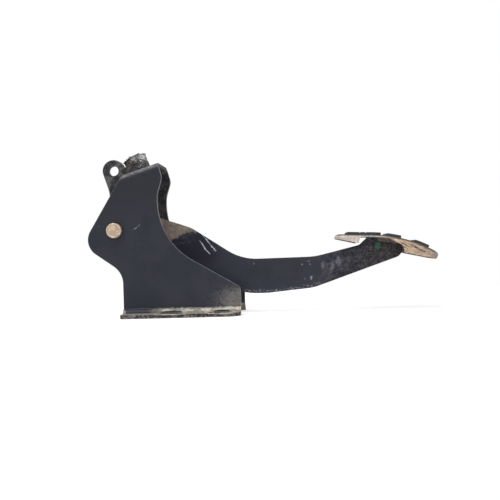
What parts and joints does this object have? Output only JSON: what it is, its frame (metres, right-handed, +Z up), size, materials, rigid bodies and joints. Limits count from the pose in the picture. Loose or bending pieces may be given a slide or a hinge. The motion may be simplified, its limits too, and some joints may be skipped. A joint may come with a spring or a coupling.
{
  "type": "rear brake pedal",
  "caption": "Floor-mounted foot brake pedal: pressed bracket with slotted feet, cranked lever on a pivot pin, curved tread pad, lug for a brake rod and an adjustable stop bolt.",
  "frame": {"origin": "middle of the four mounting slots, on the underside of the foot flanges", "axes": "+Z up, along the mounting bolts; +X from the bracket to the foot pad; +Y across the pedal, to the far side of the picture"},
  "size_m": [0.2816, 0.086, 0.1342],
  "materials": {
    "bracket_paint": "satin black paint, scuffed and dirty, bare at the foot bend",
    "lever_paint": "dull black paint, dusty brown, scratched and chipped at the edges",
    "pad_steel": "bare pressed steel, rust stained, with black paint left on top",
    "tread_rubber": "matt black rubber, worn",
    "pin_plate": "yellow zinc plate, rubbed bright at the rim",
    "bush_bronze": "sintered bronze, oily",
    "washer_steel": "zinc plated steel gone dull",
    "bolt_steel": "corroded steel with pale crust",
    "weld_bead": "painted weld"
  },
  "bodies": {
    "bracket": {"bracket": "bracket_paint", "pivot_pin": "pin_plate", "pin_washer": "washer_steel", "split_pin": "washer_steel", "thrust_washer_near": "washer_steel", "thrust_washer_far": "washer_steel", "stop_bolt": "bolt_steel", "lock_nut": "bolt_steel", "weld_nut": "bolt_steel"},
    "lever": {"lever_plate": "lever_paint", "hub_tube": "lever_paint", "hub_weld": "weld_bead", "bush_near": "bush_bronze", "bush_far": "bush_bronze", "foot_pad": "pad_steel", "pad_weld": "weld_bead", "tread_bar_1": "tread_rubber", "tread_bar_2": "tread_rubber", "tread_bar_3": "tread_rubber", "tread_bar_4": "tread_rubber", "tread_bar_5": "tread_rubber"}
  },
  "joints": [
    {"name": "pedal_pivot", "type": "hinge", "parent": "bracket", "child": "lever", "pos_m": [-0.064, 0, 0.0695], "axis": [0, -1, 0], "range_deg": [0, 10.4]}
  ]
}
